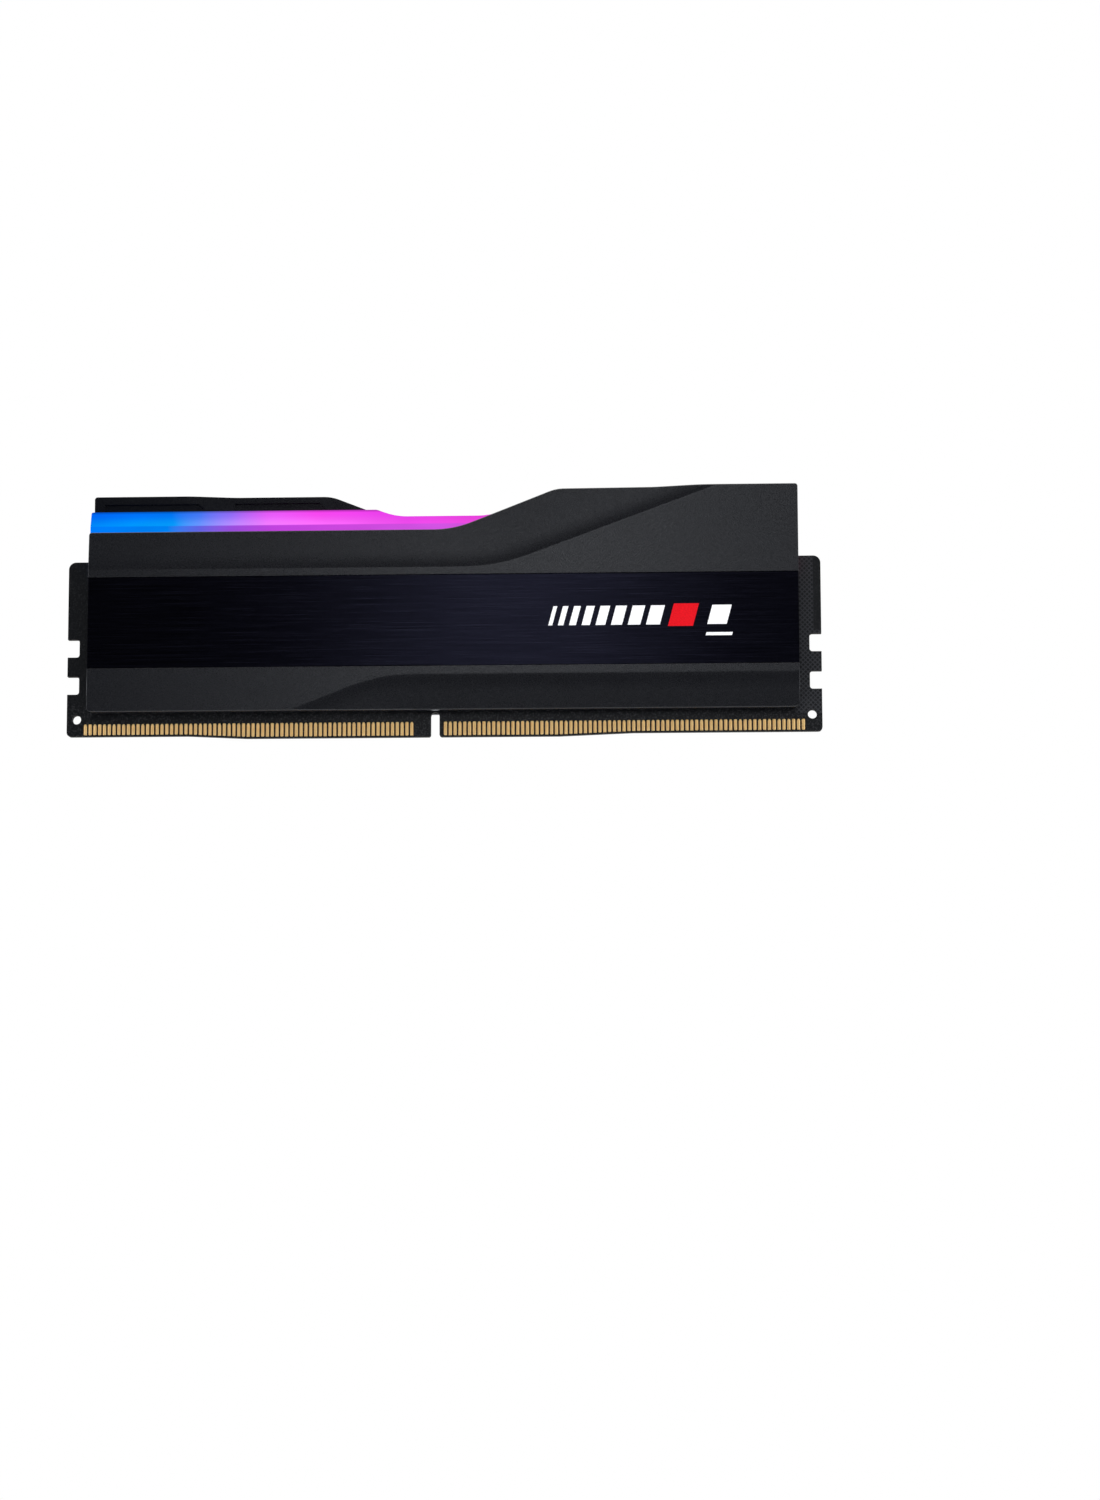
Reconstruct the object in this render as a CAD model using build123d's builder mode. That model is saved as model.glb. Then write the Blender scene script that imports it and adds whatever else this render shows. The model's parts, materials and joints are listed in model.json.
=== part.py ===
from build123d import *
import math
import os

os.makedirs("parts", exist_ok=True)

# A desktop memory module with two faceted heat spreaders and a light bar between them.
# Millimetres. X runs along the board, +Y from the front (chip side) to the back, +Z up.
# The origin is half way along the board and through its thickness, level with the two end
# stretches of its contact edge. The middle stretch of that edge reaches a little lower.

# ---------------------------------------------------------------- driving dimensions

# Circuit board: the standard desktop module outline.
board_length = 133.35
board_height = 31.25
board_thickness = 1.27
board_top_corner_radius = 1.3
board_bottom_corner_radius = 0.75
edge_dip = 0.5
edge_dip_start = -45.2
edge_dip_low_start = -34.7
edge_dip_low_end = 20.5
edge_dip_end = 33.5
latch_notch_depth = 2.1
latch_notch_height = 3.2
latch_notch_centres = (9.1, 15.75)
latch_notch_corner_radius = 0.5
tooling_hole_radius = 0.8
tooling_hole_inset = 1.75
tooling_hole_height = 3.0
key_slot_offset = -1.4
key_slot_width = 1.55
key_slot_depth = 3.85
key_slot_mouth_radius = 0.4

# Edge contacts: the same row on both faces, with places left out at the key slot.
contact_places = 150
contact_places_at_key = range(69, 75)
contact_pitch = 0.85
contact_width = 0.6
contact_top = 2.15
contact_edge_setback = 0.25
contact_corner_radius = 0.2
contact_tip_width = 0.24
contact_tip_height = 0.35
contact_thickness = 0.04

# Memory packages: moulded cap on a laminate substrate on a field of solder balls.
dram_width = 10.0
dram_height = 11.0
dram_ball_height = 0.25
dram_substrate_thickness = 0.25
dram_cap_thickness = 0.5
dram_cap_inset = 0.1
dram_per_side = 4
dram_pitch = 12.8
dram_first_centre = 18.8
dram_centre_height = 17.3
ball_pitch = 0.8
ball_radius = 0.22
ball_columns = 3
ball_rows = 13
ball_field_offset = 2.4

# Power, hub and lighting chips, and the passives round them.
pmic_size = 5.0
pmic_thickness = 0.8
pmic_height = 20.2
pmic_lead_length = 0.35
pmic_lead_width = 0.25
pmic_lead_pitch = 0.5
pmic_leads_per_edge = 8
inductor_size = 4.0
inductor_thickness = 1.2
inductor_terminal_width = 0.5
inductor_spacing = 8.2
inductor_top_height = 26.2
hub_width = 3.0
hub_height = 2.0
hub_thickness = 0.6
hub_centre = (4.5, 10.6)
controller_size = 4.0
controller_thickness = 0.75
controller_centre = (-6.5, 12.2)
capacitor_length = 1.6
capacitor_width = 0.8
capacitor_thickness = 0.8
capacitor_terminal_length = 0.3
capacitors_per_dram = 4
capacitor_pitch = 2.2
capacitor_gap_to_dram = 0.9
resistor_array_width = 2.0
resistor_array_height = 1.0
resistor_array_thickness = 0.4
resistor_array_spacing = 4.2
resistor_array_centre_height = 8.2

# Light sources: side-firing, in a row along the board's top edge, shining up.
led_count = 10
led_pitch = 12.4
led_width = 3.0
led_height = 1.2
led_thickness = 0.9
led_lens_width = 2.4
led_lens_height = 0.3
led_edge_setback = 0.1

# Thermal pads between the packages and the front plate, spacers behind the board.
pad_thickness = 0.5
pad_margin = 0.3
pmic_pad_margin = 0.4

# Heat spreaders: one shape, used at the front and, turned half round, at the back.
plate_length = 125.4
plate_thickness = 1.95
plate_bottom = 3.9
plate_low_top = 36.1
plate_high_top = 43.25
plate_crown_rise = 0.35
plate_crown_run = 8.0
plate_crown_radius = 60.0
plate_rise_start = 1.9
plate_rise_angle = 21.4
plate_rise_start_radius = 18.0
plate_rise_end_radius = 7.0
plate_top_corner_radius = 0.5
plate_bottom_corner_radius = 1.0
plate_edge_radius = 0.2
facet_tilt = 5.0
facet_max_depth = 1.2
shoulder_line = 29.25
shoulder_bend = 9.7
shoulder_rise_angle = 20.2
toe_line = 10.1
toe_bend = -11.1
facet_bend_radius = 35.0
inner_groove_spans = ((21.4, 37.5), (43.1, 60.9))
inner_groove_top = 42.15
inner_groove_height = 3.2
inner_groove_depth = 0.4
inner_groove_corner = 0.9

# Brushed insert, taped into a channel across each plate.
channel_bottom = 11.6
channel_top = 27.95
channel_depth = 0.45
insert_thickness = 0.3
insert_tape_thickness = 0.1
insert_side_clearance = 0.05
insert_end_setback = 0.05
insert_tape_margin = 0.6
insert_edge_chamfer = 0.08

# Light bar: a translucent bar that sits astride the board's top edge.
bar_leg_bottom = 28.7
bar_crease = 37.4
bar_crest = 40.2
bar_saddle = 38.85
bar_crest_half_width = 1.0
bar_saddle_start = 11.8
bar_saddle_radius = 11.0
bar_end_setback = 0.0
bar_end_radius = 0.3
bar_crest_radius = 1.5
bar_plate_clearance = 0.05
bar_board_clearance = 0.05
bar_led_clearance = 0.15

# ---------------------------------------------------------------- stack through the thickness

board_face = board_thickness / 2
dram_thickness = dram_ball_height + dram_substrate_thickness + dram_cap_thickness
dram_face = board_face + dram_thickness
plate_inner = dram_face + pad_thickness
plate_outer = plate_inner + plate_thickness
channel_floor = plate_outer - channel_depth
bar_half_thickness = plate_inner - bar_plate_clearance


def front_plane(distance):
    """Sketch plane parallel to the board, this far in front of its middle: X right, Z up."""
    return Plane.XZ.offset(distance)


def facing_plane(facing, distance):
    """The same, but looking out of the front (-1) or out of the back (1)."""
    return Plane(origin=(0, facing * distance, 0), x_dir=(-facing, 0, 0), z_dir=(0, facing, 0))


def save(sub_part, name):
    """Label a finished piece and write it to its own file."""
    sub_part.part.label = name
    export_step(sub_part.part, f"parts/{name}.step")


# ---------------------------------------------------------------- circuit board

with BuildPart() as pcb:
    with BuildSketch(front_plane(-board_face)) as board_outline:
        with Locations((0, board_height / 2)):
            Rectangle(board_length, board_height)
        with BuildLine():
            Polyline(
                (edge_dip_start, 0),
                (edge_dip_low_start, -edge_dip),
                (edge_dip_low_end, -edge_dip),
                (edge_dip_end, 0),
                close=True,
            )
        make_face()
        with Locations((key_slot_offset, 0)):
            SlotOverall(2 * key_slot_depth, key_slot_width, rotation=90, mode=Mode.SUBTRACT)
        fillet(board_outline.vertices().group_by(Axis.Y)[-1], board_top_corner_radius)
        slot_mouth = board_outline.vertices().group_by(Axis.Y)[0].sort_by(Axis.X)[1:-1]
        fillet(slot_mouth, key_slot_mouth_radius)
        end_corners = board_outline.vertices().filter_by(
            lambda corner: abs(corner.Y) < edge_dip / 2).sort_by(Axis.X)
        fillet([end_corners[0], end_corners[-1]], board_bottom_corner_radius)
        with Locations(*[(side * board_length / 2, height)
                         for side in (-1, 1) for height in latch_notch_centres]):
            RectangleRounded(2 * latch_notch_depth, latch_notch_height,
                             latch_notch_corner_radius, mode=Mode.SUBTRACT)
        with Locations(*[(side * (board_length / 2 - tooling_hole_inset), tooling_hole_height)
                         for side in (-1, 1)]):
            Circle(tooling_hole_radius, mode=Mode.SUBTRACT)
    extrude(amount=board_thickness)
save(pcb, "pcb")

# ---------------------------------------------------------------- edge contacts

def edge_level(x):
    """Height of the contact edge at this place along the board."""
    down = (x - edge_dip_start) / (edge_dip_low_start - edge_dip_start)
    up = (edge_dip_end - x) / (edge_dip_end - edge_dip_low_end)
    return -edge_dip * max(0, min(1, down, up))


def sketch_contacts():
    """Draw the row: square-ended and pointed contacts by turns, as far down as the edge allows."""
    half_width, half_tip = contact_width / 2, contact_tip_width / 2
    shoulder = contact_top - contact_tip_height
    for place in range(contact_places):
        if place in contact_places_at_key:
            continue
        x = (place - (contact_places - 1) / 2) * contact_pitch
        bottom = edge_level(x) + contact_edge_setback
        if place % 2:
            with Locations((x, (bottom + contact_top) / 2)):
                RectangleRounded(contact_width, contact_top - bottom, contact_corner_radius)
        else:
            Polygon((x - half_width, bottom), (x + half_width, bottom), (x + half_width, shoulder),
                    (x + half_tip, contact_top), (x - half_tip, contact_top),
                    (x - half_width, shoulder))


with BuildPart() as contacts_front:
    with BuildSketch(front_plane(board_face)):
        sketch_contacts()
    extrude(amount=contact_thickness)
save(contacts_front, "contacts_front")

with BuildPart() as contacts_back:
    with BuildSketch(front_plane(-board_face)):
        sketch_contacts()
    extrude(amount=-contact_thickness)
save(contacts_back, "contacts_back")

# ---------------------------------------------------------------- memory packages

dram_centres = [
    (side * (dram_first_centre + index * dram_pitch), dram_centre_height)
    for side in (-1, 1)
    for index in range(dram_per_side)
]

with BuildPart() as dram_solder_balls:
    with BuildSketch(front_plane(board_face)):
        with Locations(*dram_centres):
            with Locations((-ball_field_offset, 0), (ball_field_offset, 0)):
                with GridLocations(ball_pitch, ball_pitch, ball_columns, ball_rows):
                    Circle(ball_radius)
    extrude(amount=dram_ball_height)
save(dram_solder_balls, "dram_solder_balls")

with BuildPart() as dram_substrates:
    with BuildSketch(front_plane(board_face + dram_ball_height)):
        with Locations(*dram_centres):
            Rectangle(dram_width, dram_height)
    extrude(amount=dram_substrate_thickness)
save(dram_substrates, "dram_substrates")

with BuildPart() as dram_mold_caps:
    with BuildSketch(front_plane(dram_face - dram_cap_thickness)):
        with Locations(*dram_centres):
            Rectangle(dram_width - 2 * dram_cap_inset, dram_height - 2 * dram_cap_inset)
    extrude(amount=dram_cap_thickness)
save(dram_mold_caps, "dram_mold_caps")

# ---------------------------------------------------------------- power chip, hub, lighting chip

with BuildPart() as pmic:
    with BuildSketch(front_plane(board_face)):
        with Locations((0, pmic_height)):
            Rectangle(pmic_size, pmic_size)
    extrude(amount=pmic_thickness)
    chamfer(pmic.edges().filter_by(Axis.Y).sort_by(Axis.X)[0], pmic_lead_width)
save(pmic, "pmic")

pmic_lead_row = [(index - (pmic_leads_per_edge - 1) / 2) * pmic_lead_pitch
                 for index in range(pmic_leads_per_edge)]
pmic_lead_offset = (pmic_size + pmic_lead_length) / 2

with BuildPart() as pmic_leads:
    with BuildSketch(front_plane(board_face)):
        with Locations(*[(side * pmic_lead_offset, pmic_height + step)
                         for side in (-1, 1) for step in pmic_lead_row]):
            Rectangle(pmic_lead_length, pmic_lead_width)
        with Locations(*[(step, pmic_height + side * pmic_lead_offset)
                         for side in (-1, 1) for step in pmic_lead_row]):
            Rectangle(pmic_lead_width, pmic_lead_length)
    extrude(amount=pmic_lead_width)
save(pmic_leads, "pmic_leads")

with BuildPart() as spd_hub:
    with BuildSketch(front_plane(board_face)):
        with Locations(hub_centre):
            Rectangle(hub_width, hub_height)
    extrude(amount=hub_thickness)
save(spd_hub, "spd_hub")

with BuildPart() as led_controller:
    with BuildSketch(front_plane(board_face)):
        with Locations(controller_centre):
            Rectangle(controller_size, controller_size)
    extrude(amount=controller_thickness)
save(led_controller, "led_controller")

# ---------------------------------------------------------------- inductors

inductor_centres = [(-inductor_spacing, pmic_height), (inductor_spacing, pmic_height),
                    (0, inductor_top_height)]
inductor_terminal_offset = (inductor_size - inductor_terminal_width) / 2

with BuildPart() as inductor_cores:
    with BuildSketch(front_plane(board_face)):
        with Locations(*inductor_centres):
            Rectangle(inductor_size - 2 * inductor_terminal_width, inductor_size)
    extrude(amount=inductor_thickness)
save(inductor_cores, "inductor_cores")

with BuildPart() as inductor_terminals:
    with BuildSketch(front_plane(board_face)):
        with Locations(*inductor_centres):
            with Locations((-inductor_terminal_offset, 0), (inductor_terminal_offset, 0)):
                Rectangle(inductor_terminal_width, inductor_size)
    extrude(amount=inductor_thickness)
save(inductor_terminals, "inductor_terminals")

# ---------------------------------------------------------------- capacitors and resistors

capacitor_row_height = (dram_centre_height + dram_height / 2
                        + capacitor_gap_to_dram + capacitor_width / 2)
capacitor_centres = [
    (centre + (index - (capacitors_per_dram - 1) / 2) * capacitor_pitch, capacitor_row_height)
    for centre, _ in dram_centres
    for index in range(capacitors_per_dram)
]
capacitor_terminal_offset = (capacitor_length - capacitor_terminal_length) / 2

with BuildPart() as capacitor_bodies:
    with BuildSketch(front_plane(board_face)):
        with Locations(*capacitor_centres):
            Rectangle(capacitor_length - 2 * capacitor_terminal_length, capacitor_width)
    extrude(amount=capacitor_thickness)
save(capacitor_bodies, "capacitor_bodies")

with BuildPart() as capacitor_terminals:
    with BuildSketch(front_plane(board_face)):
        with Locations(*capacitor_centres):
            with Locations((-capacitor_terminal_offset, 0), (capacitor_terminal_offset, 0)):
                Rectangle(capacitor_terminal_length, capacitor_width)
    extrude(amount=capacitor_thickness)
save(capacitor_terminals, "capacitor_terminals")

with BuildPart() as resistor_arrays:
    with BuildSketch(front_plane(board_face)):
        with Locations(*[(centre + side * resistor_array_spacing / 2, resistor_array_centre_height)
                         for centre, _ in dram_centres for side in (-1, 1)]):
            Rectangle(resistor_array_width, resistor_array_height)
    extrude(amount=resistor_array_thickness)
save(resistor_arrays, "resistor_arrays")

# ---------------------------------------------------------------- light sources

led_top = board_height - led_edge_setback
led_body_height = led_height - led_lens_height
led_centres = [(index - (led_count - 1) / 2) * led_pitch for index in range(led_count)]

with BuildPart() as led_bodies:
    with BuildSketch(front_plane(board_face)):
        with Locations(*[(x, led_top - led_lens_height - led_body_height / 2) for x in led_centres]):
            Rectangle(led_width, led_body_height)
    extrude(amount=led_thickness)
save(led_bodies, "led_bodies")

with BuildPart() as led_lenses:
    with BuildSketch(front_plane(board_face)):
        with Locations(*[(x, led_top - led_lens_height / 2) for x in led_centres]):
            Rectangle(led_lens_width, led_lens_height)
    extrude(amount=led_thickness)
save(led_lenses, "led_lenses")

# ---------------------------------------------------------------- thermal pads and spacers

pad_length = (dram_per_side - 1) * dram_pitch + dram_width + 2 * pad_margin
pad_height = dram_height + 2 * pad_margin
pad_centre = dram_first_centre + (dram_per_side - 1) * dram_pitch / 2

for side, side_name in ((-1, "left"), (1, "right")):
    with BuildPart() as dram_pad:
        with BuildSketch(front_plane(dram_face)):
            with Locations((side * pad_centre, dram_centre_height)):
                Rectangle(pad_length, pad_height)
        extrude(amount=pad_thickness)
    save(dram_pad, f"dram_pad_{side_name}")

    with BuildPart() as back_spacer:
        with BuildSketch(front_plane(-board_face)):
            with Locations((side * pad_centre, dram_centre_height)):
                Rectangle(pad_length, pad_height)
        extrude(amount=board_face - plate_inner)
    save(back_spacer, f"back_spacer_{side_name}")

with BuildPart() as pmic_pad:
    with BuildSketch(front_plane(board_face + pmic_thickness)):
        with Locations((0, pmic_height)):
            Rectangle(pmic_size - pmic_pad_margin, pmic_size - pmic_pad_margin)
    extrude(amount=plate_inner - board_face - pmic_thickness)
save(pmic_pad, "pmic_pad")

# ---------------------------------------------------------------- heat spreaders

plate_end = plate_length / 2
facet_reach = facet_max_depth / math.tan(math.radians(facet_tilt))


def line_plane(point, heading):
    """Plane square to a line drawn on the plate: its X is +Y, its Y is to the line's left."""
    along = (math.cos(math.radians(heading)), 0, math.sin(math.radians(heading)))
    return Plane(origin=(point[0], 0, point[1]), x_dir=(0, 1, 0), z_dir=along)


def step_from(point, heading, distance):
    """The point this far along a heading, in degrees from +X towards +Z."""
    return (point[0] + distance * math.cos(math.radians(heading)),
            point[1] + distance * math.sin(math.radians(heading)))


def cut_facet(bend, heading, turn):
    """Lean the outer face back, to the left of a line that turns left at its bend."""
    tangent = facet_bend_radius * math.tan(math.radians(turn / 2))
    level_end = step_from(bend, heading, -tangent)
    slope_start = step_from(bend, heading + turn, tangent)
    centre = step_from(level_end, heading + 90, facet_bend_radius)
    wedge = [(-plate_outer, 0), (facet_max_depth - plate_outer, facet_reach),
             (-plate_outer - facet_max_depth, facet_reach), (-plate_outer - facet_max_depth, 0)]
    for start, direction, length in ((level_end, heading, -plate_length),
                                     (slope_start, heading + turn, plate_length)):
        with BuildSketch(line_plane(start, direction)) as profile:
            with BuildLine():
                Polyline(*wedge, close=True)
            make_face()
        extrude(profile.sketch, amount=length, mode=Mode.SUBTRACT)
    with BuildSketch(line_plane(level_end, heading)) as profile:
        with BuildLine():
            Polyline(*wedge, close=True)
        make_face()
    bend_axis = Axis((centre[0], 0, centre[1]), (0, -1, 0))
    revolve(profile.sketch, axis=bend_axis, revolution_arc=turn, mode=Mode.SUBTRACT)


channel_centre = (channel_bottom + channel_top) / 2
plate_rise = math.tan(math.radians(plate_rise_angle))
plate_rise_end = plate_rise_start + (plate_high_top - plate_low_top) / plate_rise
plate_crown_top = plate_high_top + plate_crown_rise
plate_crown_start = (plate_rise_end + plate_end - plate_crown_run) / 2
plate_crown_end = plate_crown_start + plate_crown_run

with BuildPart() as front_plate:
    with BuildSketch(front_plane(plate_inner)) as plate_outline:
        with BuildLine():
            Polyline(
                (-plate_end, plate_bottom),
                (-plate_end, plate_low_top),
                (plate_rise_start, plate_low_top),
                (plate_rise_end, plate_high_top),
                (plate_crown_start, plate_high_top),
                (plate_crown_end, plate_crown_top),
                (plate_end, plate_crown_top),
                (plate_end, plate_bottom),
                close=True,
            )
        make_face()
        corners = plate_outline.vertices()
        fillet(corners.group_by(Axis.Y)[0], plate_bottom_corner_radius)
        corners = plate_outline.vertices()
        fillet([corners.sort_by_distance((-plate_end, plate_low_top))[0],
                corners.sort_by_distance((plate_end, plate_crown_top))[0]], plate_top_corner_radius)
        corners = plate_outline.vertices()
        fillet(corners.sort_by_distance((plate_rise_start, plate_low_top))[0],
               plate_rise_start_radius)
        corners = plate_outline.vertices()
        fillet(corners.sort_by_distance((plate_rise_end, plate_high_top))[0], plate_rise_end_radius)
        corners = plate_outline.vertices()
        fillet([corners.sort_by_distance((plate_crown_start, plate_high_top))[0],
                corners.sort_by_distance((plate_crown_end, plate_crown_top))[0]], plate_crown_radius)
    extrude(amount=plate_thickness)

    # The shoulder leans back above a line that runs level and then rises to the right. The toe
    # leans back below a line that runs level and then falls to the left.
    cut_facet((shoulder_bend, shoulder_line), 0, shoulder_rise_angle)
    cut_facet((toe_bend, toe_line), 180, plate_rise_angle)

    # The outer rim is rounded all round.
    rim_walls = front_plate.faces().filter_by(lambda face: abs(face.normal_at().Y) < 0.01)
    outer_rim = rim_walls.edges().filter_by(
        lambda edge: edge.center().Y < -(plate_inner + plate_thickness / 2)
        and abs((edge % 0.5).Y) < 0.5)
    fillet(outer_rim, plate_edge_radius)

    # Channel for the brushed insert, open at both ends.
    with BuildSketch(front_plane(plate_outer)):
        with Locations((0, channel_centre)):
            Rectangle(plate_length, channel_top - channel_bottom)
    extrude(amount=-channel_depth, mode=Mode.SUBTRACT)

    # Shallow grooves inside the high half, above the light bar.
    with BuildSketch(front_plane(plate_inner)):
        for groove_start, groove_end in inner_groove_spans:
            with BuildLine():
                Polyline(
                    (groove_start, inner_groove_top - inner_groove_height),
                    (groove_start, inner_groove_top - inner_groove_corner),
                    (groove_start + inner_groove_corner, inner_groove_top),
                    (groove_end, inner_groove_top),
                    (groove_end, inner_groove_top - inner_groove_height),
                    close=True,
                )
            make_face()
    extrude(amount=inner_groove_depth, mode=Mode.SUBTRACT)
save(front_plate, "front_plate")

with BuildPart() as back_plate:
    add(front_plate.part.rotate(Axis.Z, 180))
save(back_plate, "back_plate")

# ---------------------------------------------------------------- brushed inserts and their tape

insert_height = channel_top - channel_bottom - 2 * insert_side_clearance
insert_length = plate_length - 2 * insert_end_setback

for facing, side_name in ((-1, "front"), (1, "back")):
    with BuildPart() as insert_tape:
        with BuildSketch(facing_plane(facing, channel_floor)):
            with Locations((0, channel_centre)):
                Rectangle(insert_length - 2 * insert_tape_margin,
                          insert_height - 2 * insert_tape_margin)
        extrude(amount=insert_tape_thickness)
    save(insert_tape, f"{side_name}_insert_tape")

    with BuildPart() as insert:
        with BuildSketch(facing_plane(facing, channel_floor + insert_tape_thickness)):
            with Locations((0, channel_centre)):
                Rectangle(insert_length, insert_height)
        extrude(amount=insert_thickness)
        outer_face = insert.faces().sort_by(Axis.Y)[0 if facing < 0 else -1]
        chamfer(outer_face.edges(), insert_edge_chamfer)
    save(insert, f"{side_name}_insert")

# ---------------------------------------------------------------- light bar

bar_end = plate_end - bar_end_setback
bar_saddle_end = bar_saddle_start - (bar_crest - bar_saddle) / plate_rise
bar_facet_length = bar_end + bar_saddle_start
bar_facet_margin = 1.0

with BuildPart() as light_bar:
    with BuildSketch(front_plane(-bar_half_thickness)) as bar_side:
        with BuildLine():
            Polyline(
                (-bar_end, bar_leg_bottom),
                (-bar_end, bar_crest),
                (-bar_saddle_start, bar_crest),
                (-bar_saddle_end, bar_saddle),
                (bar_saddle_end, bar_saddle),
                (bar_saddle_start, bar_crest),
                (bar_end, bar_crest),
                (bar_end, bar_leg_bottom),
                close=True,
            )
        make_face()
        fillet(bar_side.vertices().sort_by_distance((0, bar_saddle))[:2], bar_saddle_radius)
        crest_corners = bar_side.vertices().group_by(Axis.Y)[-1].sort_by(Axis.X)
        fillet([crest_corners[0], crest_corners[-1]], bar_end_radius)
        crest_corners = bar_side.vertices().group_by(Axis.Y)[-1].sort_by(Axis.X)
        fillet(crest_corners[1:-1], bar_crest_radius)
    extrude(amount=2 * bar_half_thickness)

    # The upper front face leans back where the front plate is low, and the upper back face
    # where the back plate is low. The two overlap in the middle.
    for facing, facet_start in ((-1, -bar_end), (1, -bar_saddle_start)):
        with BuildSketch(Plane.YZ.offset(facet_start)):
            with BuildLine():
                Polyline(
                    (facing * bar_half_thickness, bar_crease),
                    (facing * bar_crest_half_width, bar_crest),
                    (facing * bar_crest_half_width, bar_crest + bar_facet_margin),
                    (facing * (bar_half_thickness + bar_facet_margin), bar_crest + bar_facet_margin),
                    (facing * (bar_half_thickness + bar_facet_margin), bar_crease),
                    close=True,
                )
            make_face()
        extrude(amount=bar_facet_length, mode=Mode.SUBTRACT)

    # Slot for the board's top edge, which carries the bar.
    with BuildSketch(Plane.YZ.offset(-bar_end)):
        with Locations((0, (bar_leg_bottom + board_height) / 2)):
            Rectangle(board_thickness + 2 * bar_board_clearance, board_height - bar_leg_bottom)
    extrude(amount=2 * bar_end, mode=Mode.SUBTRACT)

    # One pocket in the front leg for each light source.
    pocket_top = board_height + bar_led_clearance
    with BuildSketch(front_plane(board_face)):
        with Locations(*[(x, (bar_leg_bottom + pocket_top) / 2) for x in led_centres]):
            Rectangle(led_width + 2 * bar_led_clearance, pocket_top - bar_leg_bottom)
    extrude(amount=led_thickness + bar_led_clearance, mode=Mode.SUBTRACT)
save(light_bar, "light_bar")
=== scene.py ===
import json
import math

import bmesh
import bpy
from mathutils import Matrix, Vector


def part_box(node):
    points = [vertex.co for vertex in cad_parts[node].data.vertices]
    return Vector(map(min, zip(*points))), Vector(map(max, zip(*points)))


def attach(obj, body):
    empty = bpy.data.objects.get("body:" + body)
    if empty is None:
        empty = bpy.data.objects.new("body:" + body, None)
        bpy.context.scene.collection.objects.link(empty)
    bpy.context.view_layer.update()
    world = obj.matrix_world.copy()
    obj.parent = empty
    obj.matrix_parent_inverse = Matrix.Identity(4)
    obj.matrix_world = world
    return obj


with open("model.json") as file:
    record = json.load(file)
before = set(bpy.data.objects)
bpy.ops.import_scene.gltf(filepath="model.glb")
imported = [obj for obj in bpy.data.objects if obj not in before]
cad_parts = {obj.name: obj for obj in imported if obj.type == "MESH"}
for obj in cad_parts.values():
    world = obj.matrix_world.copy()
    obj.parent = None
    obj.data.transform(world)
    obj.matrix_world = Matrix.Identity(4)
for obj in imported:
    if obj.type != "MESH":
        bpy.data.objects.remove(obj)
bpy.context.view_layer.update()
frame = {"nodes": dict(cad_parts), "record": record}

# The scene is in metres. Materials and printed marks are worked out in millimetres.
MM = 0.001

# Corners of parts' boxes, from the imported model.
board_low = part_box("pcb")[0]
insert_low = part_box("front_insert")[0]
plate_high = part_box("front_plate")[1]
bar_low, bar_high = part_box("light_bar")

# Two lines bound a heat spreader's main plane, each with one bend. These are the bends, across
# and up in millimetres as seen from the spreader's own side, and the turns there in degrees.
SHOULDER_BEND = (9.7, 29.25)
SHOULDER_TURN = 20.2
TOE_BEND = (-11.1, 10.1)
TOE_TURN = 21.4


# ---------------------------------------------------------------- camera and lights

VIEW_AZIMUTH = 2.022        # degrees, from the front towards +X
VIEW_ELEVATION = -7.326     # degrees, minus being below level
VIEW_ROLL = -0.184          # degrees
VIEW_PLACE = (0.039418, -0.583891, -0.078052)
VIEW_LENS = 80.364          # mm
VIEW_SENSOR = 36.0          # mm, along the frame's longer side
VIEW_NEAREST = 0.01
VIEW_FARTHEST = 20.0

COOL = (0.91, 0.94, 1.0)
WHITE = (1.0, 1.0, 1.0)

# Name, azimuth and elevation in degrees, distance, width, height, brightness per area, colour.
SOFTBOXES = (
    ("strip_front", -1.9, 13.0, 1.2, 0.11, 0.44, 4.9, COOL),
    ("key_right", 18.0, 13.0, 1.2, 0.30, 0.56, 1.2, COOL),
    ("side_right", 64.0, 8.0, 0.9, 0.60, 0.50, 2.0, COOL),
    ("side_left", -68.0, 8.0, 0.9, 0.60, 0.50, 1.9, COOL),
    ("low_front", -4.0, -42.0, 0.37, 0.40, 0.12, 2.7, COOL),
    ("top", 10.0, 80.0, 1.1, 1.40, 1.10, 3.4, WHITE),
    ("strip_back", 184.0, 9.0, 1.2, 0.16, 0.50, 4.0, COOL),
    ("back_right", 150.0, 20.0, 1.2, 0.70, 0.70, 1.6, COOL),
    ("back_left", -140.0, 20.0, 1.2, 0.70, 0.70, 1.6, COOL),
)

# The surroundings as a source of light, and between which Y of a direction they change over.
WORLD_FRONT = (0.030, 0.032, 0.036)
WORLD_BEHIND = (0.62, 0.64, 0.68)
WORLD_CHANGE = (0.05, 0.70)

FLOOR_LEVEL = -0.30
FLOOR_RADIUS = 1.15
FLOOR_SIDES = 96
FLOOR_FADE = (0.35, 1.10)   # distances from the middle where it starts to fade and is gone


def look_axes(azimuth, elevation, roll=0.0):
    """Right, up and backward directions of something that looks at the module from there."""
    a, e, r = (math.radians(angle) for angle in (azimuth, elevation, roll))
    back = Vector((math.sin(a) * math.cos(e), -math.cos(a) * math.cos(e), math.sin(e)))
    right = Vector((math.cos(a), math.sin(a), 0))
    up = back.cross(right)
    return (right * math.cos(r) + up * math.sin(r),
            up * math.cos(r) - right * math.sin(r),
            back)


def placed(name, data, place, axes):
    """Link an object that looks along minus its third axis."""
    thing = bpy.data.objects.new(name, data)
    thing.matrix_world = Matrix.Translation(place) @ Matrix(axes).transposed().to_4x4()
    bpy.context.scene.collection.objects.link(thing)
    return thing


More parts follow.
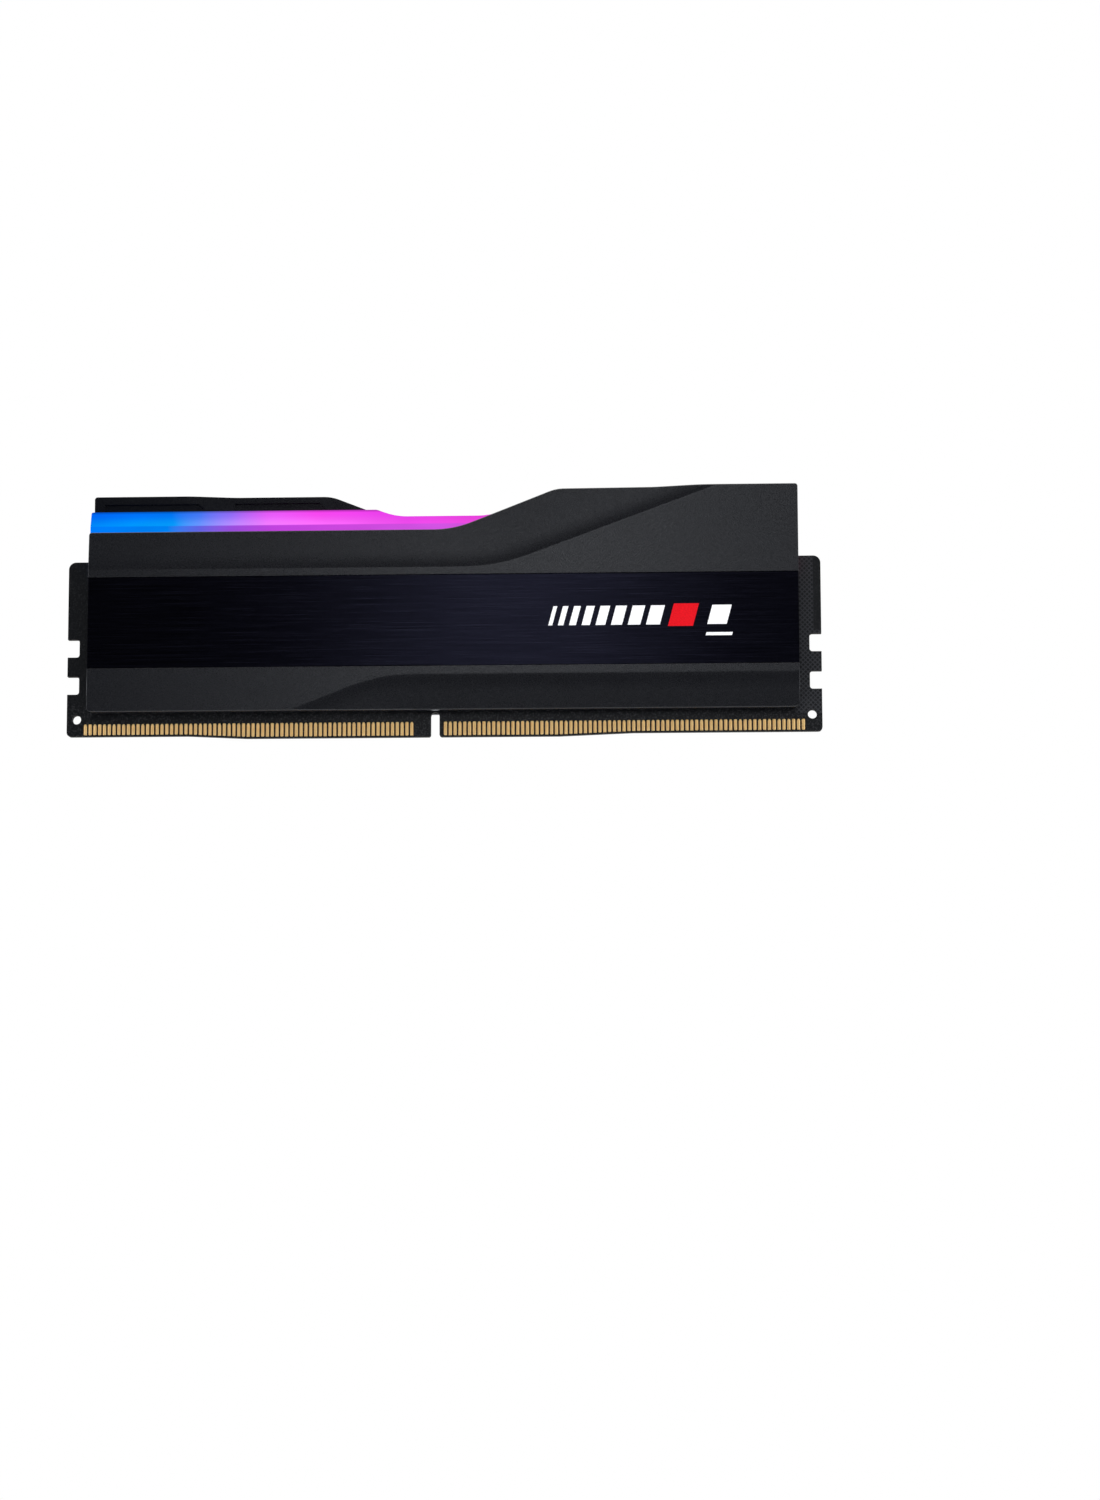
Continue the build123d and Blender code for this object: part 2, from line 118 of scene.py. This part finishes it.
def make_camera():
    data = bpy.data.cameras.new("camera")
    data.lens = VIEW_LENS
    data.sensor_width = VIEW_SENSOR
    data.clip_start = VIEW_NEAREST
    data.clip_end = VIEW_FARTHEST
    axes = look_axes(VIEW_AZIMUTH, VIEW_ELEVATION, VIEW_ROLL)
    bpy.context.scene.camera = placed("camera", data, VIEW_PLACE, axes)


def softbox(name, azimuth, elevation, distance, width, height, radiance, colour):
    """A soft rectangular light aimed at the module's middle, as bright per area as asked."""
    data = bpy.data.lights.new(name, "AREA")
    data.shape = "RECTANGLE"
    data.size = width
    data.size_y = height
    data.energy = radiance * math.pi * width * height
    data.color = colour
    axes = look_axes(azimuth, elevation)
    target = Vector((0, 0, (board_low[2] + plate_high[2]) / 2))
    light = placed(name, data, target + axes[2] * distance, axes)
    light.visible_camera = False


def make_lights():
    for values in SOFTBOXES:
        softbox(*values)


def make_world():
    """Plain white to the camera. As a source of light, dim in front and brighter behind."""
    world = bpy.data.worlds.new("world")
    world.use_nodes = True
    nodes = world.node_tree.nodes
    links = world.node_tree.links
    nodes.clear()
    seen = nodes.new("ShaderNodeBackground")
    seen.inputs["Color"].default_value = (1, 1, 1, 1)
    lit = nodes.new("ShaderNodeBackground")
    direction = nodes.new("ShaderNodeTexCoord")
    parts = nodes.new("ShaderNodeSeparateXYZ")
    behind = nodes.new("ShaderNodeMapRange")
    behind.interpolation_type = "SMOOTHSTEP"
    behind.inputs["From Min"].default_value = WORLD_CHANGE[0]
    behind.inputs["From Max"].default_value = WORLD_CHANGE[1]
    tones = nodes.new("ShaderNodeValToRGB")
    tones.color_ramp.elements[0].color = (*WORLD_FRONT, 1)
    tones.color_ramp.elements[1].color = (*WORLD_BEHIND, 1)
    path = nodes.new("ShaderNodeLightPath")
    mix = nodes.new("ShaderNodeMixShader")
    output = nodes.new("ShaderNodeOutputWorld")
    links.new(direction.outputs["Generated"], parts.inputs[0])
    links.new(parts.outputs["Y"], behind.inputs["Value"])
    links.new(behind.outputs["Result"], tones.inputs["Fac"])
    links.new(tones.outputs["Color"], lit.inputs["Color"])
    links.new(path.outputs["Is Camera Ray"], mix.inputs["Fac"])
    links.new(lit.outputs["Background"], mix.inputs[1])
    links.new(seen.outputs["Background"], mix.inputs[2])
    links.new(mix.outputs["Shader"], output.inputs["Surface"])
    bpy.context.scene.world = world


def make_floor():
    """A round, pale floor below the camera's level, that fades away to the white surroundings."""
    mesh = bmesh.new()
    corners = []
    for side in range(FLOOR_SIDES):
        turn = 2 * math.pi * side / FLOOR_SIDES
        place = (FLOOR_RADIUS * math.cos(turn), FLOOR_RADIUS * math.sin(turn), FLOOR_LEVEL)
        corners.append(mesh.verts.new(place))
    mesh.faces.new(corners)
    data = bpy.data.meshes.new("floor")
    mesh.to_mesh(data)
    mesh.free()
    floor = bpy.data.objects.new("floor", data)
    bpy.context.scene.collection.objects.link(floor)
    paper = Finish("floor_paper")
    grain = paper.noise(scale=0.04, detail=4.0)
    flat = paper.scaled(paper.place, (MM, MM, 0.0))     # in metres again
    distance = paper.nodes.new("ShaderNodeVectorMath")
    distance.operation = "LENGTH"
    paper.feed(distance.inputs[0], flat)
    paper.set(base=paper.ramp(grain, [(0.3, (0.845, 0.845, 0.845)), (0.7, (0.86, 0.86, 0.86))]),
              roughness=0.7,
              alpha=paper.span(distance.outputs["Value"], *FLOOR_FADE, 1.0, 0.0, smooth=True))
    data.materials.append(paper.material)


# ---------------------------------------------------------------- material building


class Finish:
    """A material with one Principled shader and the procedural nodes that feed it."""

    NAMES = {"base": "Base Color", "roughness": "Roughness", "metallic": "Metallic",
             "normal": "Normal", "specular": "Specular IOR Level", "alpha": "Alpha",
             "anisotropic": "Anisotropic", "tangent": "Tangent",
             "emission": "Emission Color", "emission_strength": "Emission Strength"}

    def __init__(self, name):
        self.material = bpy.data.materials.new(name)
        self.material.use_nodes = True
        self.nodes = self.material.node_tree.nodes
        self.links = self.material.node_tree.links
        self.shader = self.nodes["Principled BSDF"]
        coordinates = self.nodes.new("ShaderNodeTexCoord")
        self.place = self.scaled(coordinates.outputs["Object"], 1 / MM)

    def feed(self, socket, value):
        """Put a number, a colour or another node's output into a socket."""
        if isinstance(value, bpy.types.NodeSocket):
            self.links.new(value, socket)
        elif socket.type == "RGBA":
            socket.default_value = (*value, 1)
        else:
            socket.default_value = value

    def set(self, **values):
        """Feed the shader's own sockets."""
        for key, value in values.items():
            self.feed(self.shader.inputs[self.NAMES[key]], value)

    def scaled(self, vector, factor):
        """Coordinates times a number, or times one number for each axis."""
        node = self.nodes.new("ShaderNodeVectorMath")
        node.operation = "MULTIPLY"
        factors = factor if isinstance(factor, tuple) else (factor, factor, factor)
        self.feed(node.inputs[0], vector)
        self.feed(node.inputs[1], factors)
        return node.outputs["Vector"]

    def axis(self, letter, vector=None):
        """One part of a vector, or of the place in millimetres."""
        node = self.nodes.new("ShaderNodeSeparateXYZ")
        self.feed(node.inputs[0], vector or self.place)
        return node.outputs[letter]

    def math(self, operation, first, second=0.0, third=0.0):
        node = self.nodes.new("ShaderNodeMath")
        node.operation = operation
        for socket, value in zip(node.inputs, (first, second, third)):
            self.feed(socket, value)
        return node.outputs[0]

    def noise(self, scale, detail=2.0, stretch=(1, 1, 1), roughness=0.5):
        """Noise with this many features to the millimetre, closer together where stretched."""
        node = self.nodes.new("ShaderNodeTexNoise")
        self.feed(node.inputs["Vector"], self.scaled(self.place, stretch))
        self.feed(node.inputs["Scale"], scale)
        self.feed(node.inputs["Detail"], detail)
        self.feed(node.inputs["Roughness"], roughness)
        return node.outputs["Fac"]

    def cells(self, scale):
        """Distance to the nearest of scattered points, this many to the millimetre."""
        node = self.nodes.new("ShaderNodeTexVoronoi")
        self.feed(node.inputs["Vector"], self.place)
        self.feed(node.inputs["Scale"], scale)
        return node.outputs["Distance"]

    def ramp(self, value, stops):
        """Colour by a value from 0 to 1."""
        node = self.nodes.new("ShaderNodeValToRGB")
        elements = node.color_ramp.elements
        while len(elements) < len(stops):
            elements.new(1.0)
        for element, (position, colour) in zip(elements, stops):
            element.position = position
            element.color = (*colour, 1)
        self.feed(node.inputs["Fac"], value)
        return node.outputs["Color"]

    def span(self, value, low, high, out_low=0.0, out_high=1.0, smooth=False):
        """The value's place between low and high, held at the ends, between the two results."""
        node = self.nodes.new("ShaderNodeMapRange")
        node.interpolation_type = "SMOOTHSTEP" if smooth else "LINEAR"
        for name, number in (("Value", value), ("From Min", low), ("From Max", high),
                             ("To Min", out_low), ("To Max", out_high)):
            self.feed(node.inputs[name], number)
        return node.outputs["Result"]

    def mix(self, share, first, second):
        """Two colours mixed. The node's colour sockets share their names and go by number."""
        node = self.nodes.new("ShaderNodeMix")
        node.data_type = "RGBA"
        self.feed(node.inputs["Factor"], share)
        self.feed(node.inputs[6], first)
        self.feed(node.inputs[7], second)
        return node.outputs[2]

    def rounded(self, radius):
        """Normals that turn smoothly over sharp edges, within this radius in millimetres."""
        node = self.nodes.new("ShaderNodeBevel")
        node.samples = 6
        self.feed(node.inputs["Radius"], radius * MM)
        return node.outputs["Normal"]

    def bump(self, height, depth, strength=1.0, normal=None):
        """Surface relief: height 0 to 1 stands for this depth in millimetres."""
        node = self.nodes.new("ShaderNodeBump")
        self.feed(node.inputs["Height"], height)
        self.feed(node.inputs["Distance"], depth * MM)
        self.feed(node.inputs["Strength"], strength)
        if normal is not None:
            self.feed(node.inputs["Normal"], normal)
        return node.outputs["Normal"]

    def past_line(self, across, up, bend, heading, turn, softness):
        """Distance in millimetres to the left of a line that turns left at its bend."""
        shares = []
        for angle in (math.radians(heading), math.radians(heading + turn)):
            along = self.math("MULTIPLY", self.math("SUBTRACT", across, bend[0]), -math.sin(angle))
            rise = self.math("MULTIPLY", self.math("SUBTRACT", up, bend[1]), math.cos(angle))
            shares.append(self.math("ADD", along, rise))
        return self.math("SMOOTH_MIN", shares[0], shares[1], softness)


# ---------------------------------------------------------------- finishes


def spreader_coating():
    """Charcoal, fine-grained coating on the heat spreaders, whose facets start in a soft hollow."""
    bend_softness = 3.2
    hollow_width = 3.6
    hollow_depth = 0.14
    crease_width = 0.35
    crease_depth = 0.010
    grain_depth = 0.006
    edge_radius = 0.06
    inner_face = 2.7            # inner faces lie nearer the middle plane than this
    outer_face = 3.0            # outer faces lie farther from it than this
    finish = Finish("spreader_coating")
    facing = finish.math("SIGN", finish.axis("Y"))
    across = finish.math("MULTIPLY", finish.math("MULTIPLY", finish.axis("X"), facing), -1.0)
    up = finish.axis("Z")
    shoulder = finish.past_line(across, up, SHOULDER_BEND, 0, SHOULDER_TURN, bend_softness)
    toe = finish.past_line(across, up, TOE_BEND, 180, TOE_TURN, bend_softness)
    past = finish.math("MAXIMUM", shoulder, toe)
    hollow = finish.math("POWER", finish.span(past, 0.0, hollow_width, 1.0, 0.0), 3.0)
    crease = finish.span(past, -crease_width, 0.0, 0.0, 1.0)
    crease = finish.math("MULTIPLY", crease, crease)
    cloud = finish.noise(0.25, detail=3.0)
    grain = finish.noise(9.0, detail=2.0)
    specks = finish.span(finish.cells(2.6), 0.05, 0.25, 1.0, 0.0)
    tone = finish.ramp(cloud, [(0.30, (0.0030, 0.0032, 0.0048)),
                               (0.70, (0.0040, 0.0043, 0.0062))])
    tone = finish.mix(finish.span(grain, 0.35, 0.75, 0.0, 0.5), tone, (0.009, 0.010, 0.012))
    tone = finish.mix(finish.math("MULTIPLY", specks, 0.16), tone, (0.09, 0.09, 0.10))
    shape = finish.bump(hollow, hollow_depth, 1.0, finish.rounded(edge_radius))
    shape = finish.bump(finish.math("SUBTRACT", 1.0, crease), crease_depth, 1.0, shape)
    shape = finish.bump(grain, grain_depth, 0.8, shape)
    # Painted shade: the inner faces, towards the board, reflect less so that they look shaded.
    depth = finish.math("ABSOLUTE", finish.axis("Y"))
    finish.set(base=tone, roughness=finish.span(grain, 0.2, 0.8, 0.24, 0.31),
               specular=finish.span(depth, inner_face, outer_face, 0.12, 0.38), normal=shape)
    return finish.material


def brushed_black():
    """Black anodised metal, brushed along its length."""
    finish = Finish("brushed_insert")
    fine = finish.noise(1.0, detail=3.0, stretch=(0.10, 1.0, 16.0), roughness=0.7)
    broad = finish.noise(1.0, detail=2.0, stretch=(0.05, 1.0, 3.5))
    lines = finish.math("ADD", finish.math("MULTIPLY", fine, 0.65),
                        finish.math("MULTIPLY", broad, 0.35))
    tone = finish.ramp(lines, [(0.34, (0.003, 0.003, 0.005)), (0.50, (0.0065, 0.0065, 0.0115)),
                               (0.66, (0.014, 0.014, 0.023))])
    tangent = finish.nodes.new("ShaderNodeTangent")
    tangent.direction_type = "RADIAL"
    tangent.axis = "X"
    finish.set(base=tone, metallic=1.0, roughness=finish.span(lines, 0.3, 0.7, 0.21, 0.30),
               anisotropic=0.8, tangent=tangent.outputs[0],
               normal=finish.bump(fine, 0.004, 0.5))
    return finish.material


def solder_mask():
    """Black board: copper hatching under the mask at one end, bare laminate on the cut edges."""
    finish = Finish("solder_mask_board")
    hatch_pitch = 0.84
    hatch_starts_x = (61.5, 62.5)   # ranges over which the hatching sets in
    hatch_starts_z = (3.0, 3.4)
    rim_starts_x = (65.2, 65.4)     # and leaves off, in a rim along the board's end
    rim_starts_z = (17.9, 18.1)
    layers_per_mm = 6.0
    x = finish.axis("X")
    z = finish.axis("Z")
    lines = None
    for sign in (1.0, -1.0):
        along = finish.math("DIVIDE", finish.math("MULTIPLY_ADD", z, sign, x), hatch_pitch)
        line = finish.span(finish.math("PINGPONG", along, 0.5), 0.10, 0.22, 1.0, 0.0, smooth=True)
        lines = line if lines is None else finish.math("MAXIMUM", lines, line)
    clear_rim = finish.math("MULTIPLY", finish.span(x, *rim_starts_x), finish.span(z, *rim_starts_z))
    hatched = finish.math("MULTIPLY", finish.span(x, *hatch_starts_x), finish.span(z, *hatch_starts_z))
    hatched = finish.math("MULTIPLY", hatched, finish.math("SUBTRACT", 1.0, clear_rim))
    hatch = finish.math("MULTIPLY", lines, hatched)
    speckle = finish.span(finish.noise(3.6, detail=3.0, roughness=0.7), 0.50, 0.68)
    near_contacts = finish.span(z, 5.5, 6.5, 0.85, 0.35)
    mask = finish.mix(hatch, (0.0030, 0.0034, 0.0042), (0.034, 0.035, 0.039))
    mask = finish.mix(finish.math("MULTIPLY", speckle, near_contacts), mask, (0.046, 0.046, 0.048))
    layers = finish.math("PINGPONG", finish.math("MULTIPLY", finish.axis("Y"), layers_per_mm), 0.5)
    laminate = finish.ramp(layers, [(0.1, (0.012, 0.011, 0.009)), (0.4, (0.040, 0.034, 0.022))])
    geometry = finish.nodes.new("ShaderNodeNewGeometry")
    facing = finish.math("ABSOLUTE", finish.axis("Y", geometry.outputs["Normal"]))
    on_face = finish.span(facing, 0.4, 0.6)
    relief = finish.math("MULTIPLY", hatch, on_face)
    finish.set(base=finish.mix(on_face, laminate, mask),
               roughness=finish.span(on_face, 0.0, 1.0, 0.7, 0.34),
               specular=0.18, normal=finish.bump(relief, 0.02, 0.5))
    return finish.material


def gold_plating():
    """Gold contacts with crowned faces, a little worn along their length, and painted shade along
    their sides.
    """
    finish = Finish("gold_plating")
    pitch = 0.85
    half_width = 0.30
    crown_depth = 0.16
    place = finish.math("DIVIDE", finish.axis("X"), pitch)
    off = finish.math("ABSOLUTE", finish.math("SUBTRACT", finish.math("FRACT", place), 0.5))
    off = finish.math("MULTIPLY", off, pitch / half_width)
    crown = finish.math("SUBTRACT", 1.0, finish.math("MULTIPLY", off, off))
    scuff = finish.noise(1.0, detail=3.0, stretch=(14.0, 1.0, 1.2))
    cloud = finish.noise(0.6, detail=2.0)
    tone = finish.ramp(scuff, [(0.3, (0.96, 0.55, 0.18)), (0.7, (1.0, 0.74, 0.34))])
    tone = finish.mix(finish.span(cloud, 0.4, 0.8, 0.0, 0.25), tone, (0.98, 0.64, 0.28))
    # Painted shade: each pad turns dark brown towards its long edges, where it meets the gaps between
    # pads.
    tone = finish.mix(finish.span(off, 0.62, 1.0, 0.0, 0.75, smooth=True), tone, (0.30, 0.14, 0.04))
    finish.set(base=tone, metallic=0.8, roughness=finish.span(scuff, 0.2, 0.8, 0.38, 0.52),
               normal=finish.bump(crown, crown_depth, 1.0))
    return finish.material


def screen(red, green, blue):
    """A colour as it shows on a screen, 0 to 255, in the linear values that shaders take."""
    gamma = 2.2
    return tuple((value / 255) ** gamma for value in (red, green, blue))


def light_diffuser():
    """Milky bar, lit from inside: blue at the left end, through violet, to magenta."""
    finish = Finish("light_diffuser")
    crease_height = 37.4        # where the bar's upright side meets its slope
    crease_softness = 0.10
    crest_height = bar_high[2] / MM
    crest_width = 0.5
    rim_width = 0.1
    z = finish.axis("Z")
    along = finish.span(finish.axis("X"), bar_low[0] / MM, bar_high[0] / MM)
    crest = finish.ramp(along, [
        (0.00, screen(4, 106, 250)), (0.115, screen(8, 118, 242)), (0.155, screen(70, 118, 243)),
        (0.20, screen(145, 108, 246)), (0.25, screen(228, 92, 248)), (0.32, screen(248, 72, 240)),
        (0.45, screen(230, 64, 232)), (0.65, screen(230, 55, 205)), (0.82, screen(236, 60, 165)),
        (1.00, screen(240, 78, 130))])
    slope = finish.ramp(along, [
        (0.00, screen(0, 136, 252)), (0.06, screen(0, 150, 252)), (0.12, screen(14, 156, 254)),
        (0.155, screen(105, 149, 255)), (0.20, screen(180, 138, 255)), (0.25, screen(240, 122, 255)),
        (0.32, screen(255, 108, 255)), (0.45, screen(240, 76, 236)), (0.65, screen(244, 80, 214)),
        (0.82, screen(250, 90, 180)), (1.00, screen(252, 110, 150))])
    strip = finish.ramp(along, [
        (0.00, screen(0, 124, 252)), (0.11, screen(2, 130, 244)), (0.155, screen(98, 100, 227)),
        (0.20, screen(152, 80, 221)), (0.26, screen(190, 68, 219)), (0.36, screen(200, 72, 218)),
        (0.50, screen(212, 86, 228)), (0.70, screen(212, 70, 190)), (1.00, screen(216, 74, 120))])
    rise = finish.span(z, crease_height, crest_height - crest_width, smooth=True)
    upper = finish.mix(rise, slope, crest)
    above = finish.span(z, crease_height - crease_softness, crease_height + crease_softness,
                        smooth=True)
    cloud = finish.noise(0.12, detail=1.0, stretch=(1, 1, 3))
    dimmed = finish.span(z, crest_height - crest_width, crest_height - rim_width, 1.0, 0.55)
    level = finish.math("MULTIPLY", finish.span(cloud, 0.3, 0.7, 0.95, 1.04), dimmed)
    finish.set(base=(0.0, 0.0, 0.01), roughness=0.5, specular=0.0,
               emission=finish.mix(above, strip, upper), emission_strength=level,
               normal=finish.bump(cloud, 0.01, 0.5))
    return finish.material


def ink(name, dark, light, painted_glow):
    """Opaque print, a little uneven, with a faint painted glow that stands in for light falling on it.
    """
    finish = Finish(name)
    grain = finish.noise(5.0, detail=4.0)
    finish.set(base=finish.ramp(grain, [(0.3, dark), (0.7, light)]), specular=0.15,
               roughness=finish.span(grain, 0.2, 0.8, 0.40, 0.55), emission=painted_glow,
               emission_strength=0.32, normal=finish.bump(grain, 0.002, 0.6))
    return finish.material


def plain_finish(name, dark, light, roughness, metallic, scale, relief):
    """A small part's finish: two close tones and a matching relief."""
    finish = Finish(name)
    grain = finish.noise(scale, detail=4.0)
    finish.set(base=finish.ramp(grain, [(0.3, dark), (0.7, light)]), metallic=metallic,
               roughness=finish.span(grain, 0.2, 0.8, roughness - 0.08, roughness + 0.08),
               normal=finish.bump(grain, relief, 0.6))
    return finish.material


# Slot: dark and light tone, roughness, metallic, grains to the millimetre, relief in millimetres.
PLAIN_FINISHES = {
    "solder": ((0.35, 0.36, 0.38), (0.60, 0.61, 0.63), 0.40, 1.0, 2.0, 0.006),
    "package_laminate": ((0.02, 0.06, 0.03), (0.04, 0.09, 0.05), 0.45, 0.0, 2.0, 0.006),
    "mold_compound": ((0.015, 0.015, 0.017), (0.028, 0.028, 0.030), 0.60, 0.0, 6.0, 0.006),
    "ferrite": ((0.05, 0.05, 0.055), (0.09, 0.09, 0.095), 0.65, 0.0, 5.0, 0.006),
    "capacitor_ceramic": ((0.30, 0.20, 0.12), (0.42, 0.30, 0.19), 0.45, 0.0, 2.0, 0.006),
    "tin_terminal": ((0.45, 0.45, 0.46), (0.68, 0.68, 0.69), 0.38, 1.0, 2.0, 0.006),
    "resistor_film": ((0.015, 0.015, 0.020), (0.03, 0.03, 0.04), 0.35, 0.0, 2.0, 0.006),
    "led_housing": ((0.70, 0.70, 0.68), (0.82, 0.82, 0.80), 0.45, 0.0, 2.0, 0.006),
    "led_resin": ((0.75, 0.70, 0.35), (0.85, 0.80, 0.48), 0.25, 0.0, 2.0, 0.006),
    "thermal_pad": ((0.20, 0.21, 0.23), (0.28, 0.29, 0.32), 0.80, 0.0, 1.5, 0.03),
    "foam_spacer": ((0.012, 0.012, 0.013), (0.03, 0.03, 0.032), 0.85, 0.0, 4.0, 0.05),
    "adhesive_tape": ((0.01, 0.01, 0.01), (0.02, 0.02, 0.02), 0.7, 0.0, 2.0, 0.006),
}


# ---------------------------------------------------------------- printed marks

# The mark's sizes and places, in millimetres.
MARK_DEPTH = 0.02
MARK_LEAN = 0.27            # sideways for each millimetre up
MARK_LEFT = 18.7
MARK_BOTTOM = 18.6
MARK_HEIGHT = 3.4
STRIPE_COUNT = 8
STRIPE_WIDTH = 0.70         # the first one's
STRIPE_WIDENING = 0.25      # from each stripe to the next
STRIPE_GAP = 1.0
ACCENT_WIDTH = 4.4
ACCENT_GAP = 0.4            # beyond the last stripe's gap
ACCENT_MARGIN = 0.3         # how far it reaches past the stripes, above and below
BLOCK_LEFT = 46.6
BLOCK_WIDTH = 3.4
UNDERLINE_LEFT = 46.3
UNDERLINE_BOTTOM = 16.6
UNDERLINE_WIDTH = 4.6
UNDERLINE_HEIGHT = 0.55


def prism(mesh, outline, y_inner, y_outer):
    """A flat shape in X and Z, given depth along Y."""
    inner = [mesh.verts.new((x, y_inner, z)) for x, z in outline]
    outer = [mesh.verts.new((x, y_outer, z)) for x, z in outline]
    mesh.faces.new(inner)
    mesh.faces.new(outer[::-1])
    for index in range(len(outline)):
        after = (index + 1) % len(outline)
        mesh.faces.new((inner[after], inner[index], outer[index], outer[after]))


def piece(name, mesh, material):
    """Turn a bmesh into a piece that rides on the module."""
    bmesh.ops.recalc_face_normals(mesh, faces=mesh.faces)
    data = bpy.data.meshes.new(name)
    mesh.to_mesh(data)
    mesh.free()
    data.materials.append(material)
    thing = bpy.data.objects.new(name, data)
    bpy.context.scene.collection.objects.link(thing)
    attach(thing, "root")


def print_bar(mesh, left, bottom, width, height):
    """A raised parallelogram on the front insert, leaning to the right."""
    insert_face = insert_low[1] / MM
    lean = MARK_LEAN * height
    outline = [(left, bottom), (left + width, bottom),
               (left + width + lean, bottom + height), (left + lean, bottom + height)]
    prism(mesh, outline, insert_face, insert_face - MARK_DEPTH)


def add_mark(side, turn, white, red):
    """A plain printed mark on an insert: white stripes that widen to the right, then a red block,
    a white block and its underline. It is laid out at the front and turned to its side."""
    stripes = bmesh.new()
    left = MARK_LEFT
    for count in range(STRIPE_COUNT):
        width = STRIPE_WIDTH + STRIPE_WIDENING * count
        print_bar(stripes, left, MARK_BOTTOM, width, MARK_HEIGHT)
        left += width + STRIPE_GAP
    print_bar(stripes, BLOCK_LEFT, MARK_BOTTOM, BLOCK_WIDTH, MARK_HEIGHT)
    print_bar(stripes, UNDERLINE_LEFT, UNDERLINE_BOTTOM, UNDERLINE_WIDTH, UNDERLINE_HEIGHT)
    accent = bmesh.new()
    print_bar(accent, left + ACCENT_GAP, MARK_BOTTOM - ACCENT_MARGIN, ACCENT_WIDTH,
              MARK_HEIGHT + 2 * ACCENT_MARGIN)
    for name, mesh, material in (("stripes", stripes, white), ("accent", accent, red)):
        bmesh.ops.transform(mesh, matrix=turn @ Matrix.Scale(MM, 4), verts=mesh.verts)
        piece(f"mark_{name}_{side}", mesh, material)


# ---------------------------------------------------------------- making it all

make_camera()
make_world()
make_lights()
make_floor()

bpy.context.scene.view_settings.view_transform = "Standard"

finishes = {name: plain_finish(name, *values) for name, values in PLAIN_FINISHES.items()}
finishes["solder_mask_board"] = solder_mask()
finishes["gold_plating"] = gold_plating()
finishes["spreader_coating"] = spreader_coating()
finishes["brushed_insert"] = brushed_black()
finishes["light_diffuser"] = light_diffuser()

# The last colour of each ink is a painted glow, standing in for light falling on the print.
ink_white = ink("ink_white", (0.80, 0.80, 0.80), (0.92, 0.92, 0.92), (1.0, 1.0, 1.0))
ink_red = ink("ink_red", (0.48, 0.002, 0.006), (0.66, 0.005, 0.012), (1.0, 0.004, 0.014))
add_mark("front", Matrix.Identity(4), ink_white, ink_red)
add_mark("back", Matrix.Rotation(math.pi, 4, "Z"), ink_white, ink_red)

for entry in frame["record"]["subparts"]:
    node = frame["nodes"][entry["node"]]
    node.data.materials.clear()
    node.data.materials.append(finishes[entry["material_slot"]])
